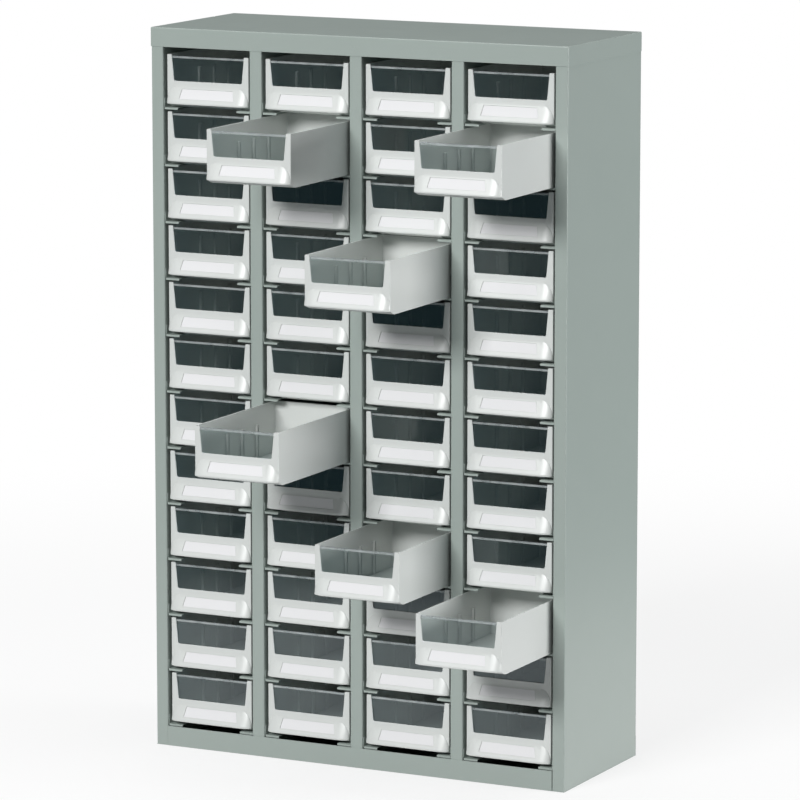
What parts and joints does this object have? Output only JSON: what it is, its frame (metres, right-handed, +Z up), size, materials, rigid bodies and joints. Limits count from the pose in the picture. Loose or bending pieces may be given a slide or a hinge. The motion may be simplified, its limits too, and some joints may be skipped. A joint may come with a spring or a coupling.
{
  "type": "parts bin cabinet",
  "caption": "Upright steel parts cabinet with a grid of small clear-fronted plastic drawers that slide out on runners; several stand open.",
  "frame": {"origin": "middle of the cabinet's underside, on the floor plane", "axes": "+Z up, +Y from the drawer fronts to the back panel, +X to the right as seen from the front"},
  "size_m": [0.586, 0.4135, 0.937],
  "materials": {
    "cabinet_steel": "grey-green powder coat, fine and satin, on 0.8 mm folded steel sheet",
    "drawer_plastic": "off-white moulded polystyrene, faintly glossy",
    "window_plastic": "clear polished sheet in the drawer front",
    "label_card": "plain white card, left blank"
  },
  "bodies": {
    "cabinet": {"left_side_panel": "cabinet_steel", "right_side_panel": "cabinet_steel", "top_panel": "cabinet_steel", "bottom_panel": "cabinet_steel", "back_panel": "cabinet_steel", "left_divider": "cabinet_steel", "middle_divider": "cabinet_steel", "right_divider": "cabinet_steel", "column_1_runners": "cabinet_steel", "column_2_runners": "cabinet_steel", "column_3_runners": "cabinet_steel", "column_4_runners": "cabinet_steel"},
    "drawer_r01_c1": {"drawer_r01_c1": "drawer_plastic"},
    "drawer_r01_c2": {"drawer_r01_c2": "drawer_plastic"},
    "drawer_r01_c3": {"drawer_r01_c3": "drawer_plastic"},
    "drawer_r01_c4": {"drawer_r01_c4": "drawer_plastic"},
    "drawer_r02_c1": {"drawer_r02_c1": "drawer_plastic"},
    "drawer_r02_c2": {"drawer_r02_c2": "drawer_plastic"},
    "drawer_r02_c3": {"drawer_r02_c3": "drawer_plastic"},
    "drawer_r02_c4": {"drawer_r02_c4": "drawer_plastic"},
    "drawer_r03_c1": {"drawer_r03_c1": "drawer_plastic"},
    "drawer_r03_c2": {"drawer_r03_c2": "drawer_plastic"},
    "drawer_r03_c3": {"drawer_r03_c3": "drawer_plastic"},
    "drawer_r03_c4": {"drawer_r03_c4": "drawer_plastic"},
    "drawer_r04_c1": {"drawer_r04_c1": "drawer_plastic"},
    "drawer_r04_c2": {"drawer_r04_c2": "drawer_plastic"},
    "drawer_r04_c3": {"drawer_r04_c3": "drawer_plastic"},
    "drawer_r04_c4": {"drawer_r04_c4": "drawer_plastic"},
    "drawer_r05_c1": {"drawer_r05_c1": "drawer_plastic"},
    "drawer_r05_c2": {"drawer_r05_c2": "drawer_plastic"},
    "drawer_r05_c3": {"drawer_r05_c3": "drawer_plastic"},
    "drawer_r05_c4": {"drawer_r05_c4": "drawer_plastic"},
    "drawer_r06_c1": {"drawer_r06_c1": "drawer_plastic"},
    "drawer_r06_c2": {"drawer_r06_c2": "drawer_plastic"},
    "drawer_r06_c3": {"drawer_r06_c3": "drawer_plastic"},
    "drawer_r06_c4": {"drawer_r06_c4": "drawer_plastic"},
    "drawer_r07_c1": {"drawer_r07_c1": "drawer_plastic"},
    "drawer_r07_c2": {"drawer_r07_c2": "drawer_plastic"},
    "drawer_r07_c3": {"drawer_r07_c3": "drawer_plastic"},
    "drawer_r07_c4": {"drawer_r07_c4": "drawer_plastic"},
    "drawer_r08_c1": {"drawer_r08_c1": "drawer_plastic"},
    "drawer_r08_c2": {"drawer_r08_c2": "drawer_plastic"},
    "drawer_r08_c3": {"drawer_r08_c3": "drawer_plastic"},
    "drawer_r08_c4": {"drawer_r08_c4": "drawer_plastic"},
    "drawer_r09_c1": {"drawer_r09_c1": "drawer_plastic"},
    "drawer_r09_c2": {"drawer_r09_c2": "drawer_plastic"},
    "drawer_r09_c3": {"drawer_r09_c3": "drawer_plastic"},
    "drawer_r09_c4": {"drawer_r09_c4": "drawer_plastic"},
    "drawer_r10_c1": {"drawer_r10_c1": "drawer_plastic"},
    "drawer_r10_c2": {"drawer_r10_c2": "drawer_plastic"},
    "drawer_r10_c3": {"drawer_r10_c3": "drawer_plastic"},
    "drawer_r10_c4": {"drawer_r10_c4": "drawer_plastic"},
    "drawer_r11_c1": {"drawer_r11_c1": "drawer_plastic"},
    "drawer_r11_c2": {"drawer_r11_c2": "drawer_plastic"},
    "drawer_r11_c3": {"drawer_r11_c3": "drawer_plastic"},
    "drawer_r11_c4": {"drawer_r11_c4": "drawer_plastic"},
    "drawer_r12_c1": {"drawer_r12_c1": "drawer_plastic"},
    "drawer_r12_c2": {"drawer_r12_c2": "drawer_plastic"},
    "drawer_r12_c3": {"drawer_r12_c3": "drawer_plastic"},
    "drawer_r12_c4": {"drawer_r12_c4": "drawer_plastic"}
  },
  "joints": [
    {"name": "slide_r01_c1", "type": "slide", "parent": "cabinet", "child": "drawer_r01_c1", "axis": [0, -1, 0], "range_m": [0, 0.195]},
    {"name": "slide_r01_c2", "type": "slide", "parent": "cabinet", "child": "drawer_r01_c2", "axis": [0, -1, 0], "range_m": [0, 0.195]},
    {"name": "slide_r01_c3", "type": "slide", "parent": "cabinet", "child": "drawer_r01_c3", "axis": [0, -1, 0], "range_m": [0, 0.195]},
    {"name": "slide_r01_c4", "type": "slide", "parent": "cabinet", "child": "drawer_r01_c4", "axis": [0, -1, 0], "range_m": [0, 0.195]},
    {"name": "slide_r02_c1", "type": "slide", "parent": "cabinet", "child": "drawer_r02_c1", "axis": [0, -1, 0], "range_m": [0, 0.195]},
    {"name": "slide_r02_c2", "type": "slide", "parent": "cabinet", "child": "drawer_r02_c2", "axis": [0, -1, 0], "range_m": [-0.155, 0.04]},
    {"name": "slide_r02_c3", "type": "slide", "parent": "cabinet", "child": "drawer_r02_c3", "axis": [0, -1, 0], "range_m": [0, 0.195]},
    {"name": "slide_r02_c4", "type": "slide", "parent": "cabinet", "child": "drawer_r02_c4", "axis": [0, -1, 0], "range_m": [-0.149, 0.046]},
    {"name": "slide_r03_c1", "type": "slide", "parent": "cabinet", "child": "drawer_r03_c1", "axis": [0, -1, 0], "range_m": [0, 0.195]},
    {"name": "slide_r03_c2", "type": "slide", "parent": "cabinet", "child": "drawer_r03_c2", "axis": [0, -1, 0], "range_m": [0, 0.195]},
    {"name": "slide_r03_c3", "type": "slide", "parent": "cabinet", "child": "drawer_r03_c3", "axis": [0, -1, 0], "range_m": [0, 0.195]},
    {"name": "slide_r03_c4", "type": "slide", "parent": "cabinet", "child": "drawer_r03_c4", "axis": [0, -1, 0], "range_m": [0, 0.195]},
    {"name": "slide_r04_c1", "type": "slide", "parent": "cabinet", "child": "drawer_r04_c1", "axis": [0, -1, 0], "range_m": [0, 0.195]},
    {"name": "slide_r04_c2", "type": "slide", "parent": "cabinet", "child": "drawer_r04_c2", "axis": [0, -1, 0], "range_m": [0, 0.195]},
    {"name": "slide_r04_c3", "type": "slide", "parent": "cabinet", "child": "drawer_r04_c3", "axis": [0, -1, 0], "range_m": [-0.166, 0.029]},
    {"name": "slide_r04_c4", "type": "slide", "parent": "cabinet", "child": "drawer_r04_c4", "axis": [0, -1, 0], "range_m": [0, 0.195]},
    {"name": "slide_r05_c1", "type": "slide", "parent": "cabinet", "child": "drawer_r05_c1", "axis": [0, -1, 0], "range_m": [0, 0.195]},
    {"name": "slide_r05_c2", "type": "slide", "parent": "cabinet", "child": "drawer_r05_c2", "axis": [0, -1, 0], "range_m": [0, 0.195]},
    {"name": "slide_r05_c3", "type": "slide", "parent": "cabinet", "child": "drawer_r05_c3", "axis": [0, -1, 0], "range_m": [0, 0.195]},
    {"name": "slide_r05_c4", "type": "slide", "parent": "cabinet", "child": "drawer_r05_c4", "axis": [0, -1, 0], "range_m": [0, 0.195]},
    {"name": "slide_r06_c1", "type": "slide", "parent": "cabinet", "child": "drawer_r06_c1", "axis": [0, -1, 0], "range_m": [0, 0.195]},
    {"name": "slide_r06_c2", "type": "slide", "parent": "cabinet", "child": "drawer_r06_c2", "axis": [0, -1, 0], "range_m": [0, 0.195]},
    {"name": "slide_r06_c3", "type": "slide", "parent": "cabinet", "child": "drawer_r06_c3", "axis": [0, -1, 0], "range_m": [0, 0.195]},
    {"name": "slide_r06_c4", "type": "slide", "parent": "cabinet", "child": "drawer_r06_c4", "axis": [0, -1, 0], "range_m": [0, 0.195]},
    {"name": "slide_r07_c1", "type": "slide", "parent": "cabinet", "child": "drawer_r07_c1", "axis": [0, -1, 0], "range_m": [0, 0.195]},
    {"name": "slide_r07_c2", "type": "slide", "parent": "cabinet", "child": "drawer_r07_c2", "axis": [0, -1, 0], "range_m": [-0.19, 0.005]},
    {"name": "slide_r07_c3", "type": "slide", "parent": "cabinet", "child": "drawer_r07_c3", "axis": [0, -1, 0], "range_m": [0, 0.195]},
    {"name": "slide_r07_c4", "type": "slide", "parent": "cabinet", "child": "drawer_r07_c4", "axis": [0, -1, 0], "range_m": [0, 0.195]},
    {"name": "slide_r08_c1", "type": "slide", "parent": "cabinet", "child": "drawer_r08_c1", "axis": [0, -1, 0], "range_m": [0, 0.195]},
    {"name": "slide_r08_c2", "type": "slide", "parent": "cabinet", "child": "drawer_r08_c2", "axis": [0, -1, 0], "range_m": [0, 0.195]},
    {"name": "slide_r08_c3", "type": "slide", "parent": "cabinet", "child": "drawer_r08_c3", "axis": [0, -1, 0], "range_m": [0, 0.195]},
    {"name": "slide_r08_c4", "type": "slide", "parent": "cabinet", "child": "drawer_r08_c4", "axis": [0, -1, 0], "range_m": [0, 0.195]},
    {"name": "slide_r09_c1", "type": "slide", "parent": "cabinet", "child": "drawer_r09_c1", "axis": [0, -1, 0], "range_m": [0, 0.195]},
    {"name": "slide_r09_c2", "type": "slide", "parent": "cabinet", "child": "drawer_r09_c2", "axis": [0, -1, 0], "range_m": [0, 0.195]},
    {"name": "slide_r09_c3", "type": "slide", "parent": "cabinet", "child": "drawer_r09_c3", "axis": [0, -1, 0], "range_m": [-0.141, 0.054]},
    {"name": "slide_r09_c4", "type": "slide", "parent": "cabinet", "child": "drawer_r09_c4", "axis": [0, -1, 0], "range_m": [0, 0.195]},
    {"name": "slide_r10_c1", "type": "slide", "parent": "cabinet", "child": "drawer_r10_c1", "axis": [0, -1, 0], "range_m": [0, 0.195]},
    {"name": "slide_r10_c2", "type": "slide", "parent": "cabinet", "child": "drawer_r10_c2", "axis": [0, -1, 0], "range_m": [0, 0.195]},
    {"name": "slide_r10_c3", "type": "slide", "parent": "cabinet", "child": "drawer_r10_c3", "axis": [0, -1, 0], "range_m": [0, 0.195]},
    {"name": "slide_r10_c4", "type": "slide", "parent": "cabinet", "child": "drawer_r10_c4", "axis": [0, -1, 0], "range_m": [-0.145, 0.05]},
    {"name": "slide_r11_c1", "type": "slide", "parent": "cabinet", "child": "drawer_r11_c1", "axis": [0, -1, 0], "range_m": [0, 0.195]},
    {"name": "slide_r11_c2", "type": "slide", "parent": "cabinet", "child": "drawer_r11_c2", "axis": [0, -1, 0], "range_m": [0, 0.195]},
    {"name": "slide_r11_c3", "type": "slide", "parent": "cabinet", "child": "drawer_r11_c3", "axis": [0, -1, 0], "range_m": [0, 0.195]},
    {"name": "slide_r11_c4", "type": "slide", "parent": "cabinet", "child": "drawer_r11_c4", "axis": [0, -1, 0], "range_m": [0, 0.195]},
    {"name": "slide_r12_c1", "type": "slide", "parent": "cabinet", "child": "drawer_r12_c1", "axis": [0, -1, 0], "range_m": [0, 0.195]},
    {"name": "slide_r12_c2", "type": "slide", "parent": "cabinet", "child": "drawer_r12_c2", "axis": [0, -1, 0], "range_m": [0, 0.195]},
    {"name": "slide_r12_c3", "type": "slide", "parent": "cabinet", "child": "drawer_r12_c3", "axis": [0, -1, 0], "range_m": [0, 0.195]},
    {"name": "slide_r12_c4", "type": "slide", "parent": "cabinet", "child": "drawer_r12_c4", "axis": [0, -1, 0], "range_m": [0, 0.195]}
  ]
}
